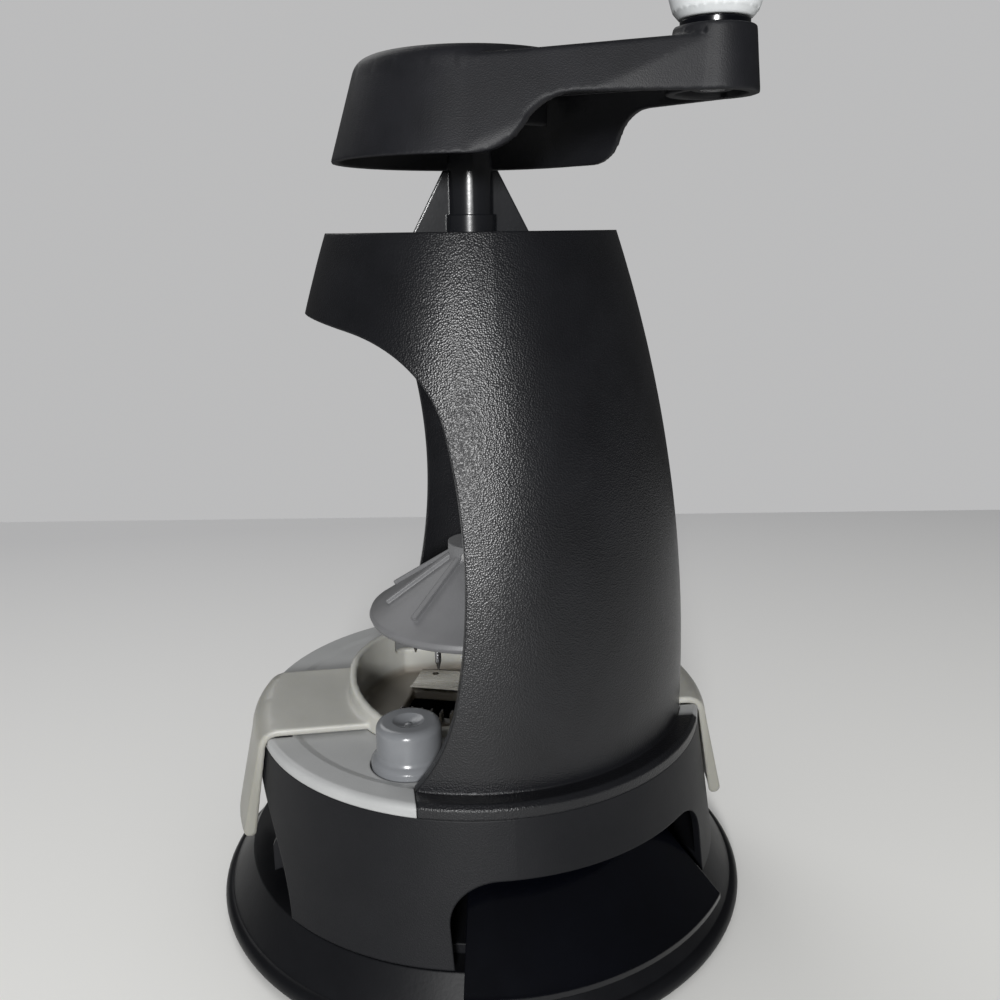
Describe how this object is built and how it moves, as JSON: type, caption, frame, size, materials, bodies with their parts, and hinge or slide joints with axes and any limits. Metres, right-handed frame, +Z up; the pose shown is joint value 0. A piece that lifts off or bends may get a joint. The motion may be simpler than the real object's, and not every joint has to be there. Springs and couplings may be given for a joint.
{
  "type": "hand cranked vertical spiralizer",
  "caption": "Vertical spiralizer: suction base, milky blade insert, hooded tower with a C-shaped loading mouth and a hollow crank that turns and lowers a spiked food holder.",
  "frame": {"origin": "on the worktop under the axis of the crank's shaft", "axes": "+Z up along the shaft, -Y towards the loading mouth, +X towards the release button's side"},
  "size_m": [0.1628, 0.1628, 0.2836],
  "materials": {
    "crank_black": "fine grain",
    "knob_white": "satin",
    "steel": "plain",
    "gloss_black": "polished",
    "nylon": "natural",
    "grain_black": "coarse grain",
    "grey_plastic": "satin",
    "milky_plastic": "milky",
    "blade_steel": "ground",
    "tray_grey": "satin",
    "satin_black": "satin",
    "button_grey": "polished",
    "rubber": "satin"
  },
  "bodies": {
    "stand": {"tower_shell": "grain_black", "tower_screws": "steel", "bearing_bridge": "gloss_black", "bridge_screws": "steel", "blade_insert": "milky_plastic", "slicing_blade": "blade_steel", "julienne_comb": "blade_steel", "coring_tube": "blade_steel", "top_plate": "tray_grey", "strand_chute": "satin_black", "base_skirt": "satin_black", "base_core": "satin_black", "base_screws": "steel", "lever_pin": "steel", "suction_disc": "rubber", "button_spring": "steel"},
    "sleeve": {"drive_sleeve": "nylon"},
    "spindle": {"drive_shaft": "steel", "crank_arm": "crank_black", "crank_pin": "steel", "knob_spindle": "steel", "knob_spacer": "gloss_black", "food_holder": "grey_plastic", "holder_spikes": "steel", "holder_pin": "steel"},
    "knob": {"crank_knob": "knob_white"},
    "button": {"release_button": "button_grey", "button_clip": "steel"},
    "lever": {"suction_lever": "gloss_black"},
    "stem": {"suction_stem": "steel", "suction_yoke": "satin_black"}
  },
  "joints": [
    {"name": "crank_spin", "type": "hinge", "parent": "stand", "child": "sleeve", "pos_m": [0, 0, 0], "axis": [0, 0, 1], "continuous": true},
    {"name": "shaft_lift", "type": "slide", "parent": "sleeve", "child": "spindle", "axis": [0, 0, 1], "range_m": [0, 0.07]},
    {"name": "knob_spin", "type": "hinge", "parent": "spindle", "child": "knob", "pos_m": [0.03471, 0.05555, 0], "axis": [0, 0, 1], "continuous": true},
    {"name": "button_press", "type": "slide", "parent": "stand", "child": "button", "axis": [0, 0, -1], "range_m": [0, 0.003], "stiffness_N_per_m": 400, "deforming": ["button_spring"]},
    {"name": "lever_swing", "type": "hinge", "parent": "stand", "child": "lever", "pos_m": [0.04294, 0.01648, 0.028], "axis": [0.3584, -0.9336, 0], "range_deg": [0, 35]},
    {"name": "stem_slide", "type": "slide", "parent": "stand", "child": "stem", "axis": [0, 0, -1], "range_m": [0, 0.003]}
  ],
  "couplings": [
    {"joint": "lever_swing", "follows": "stem_slide", "rad_per_m": 203.62}
  ]
}
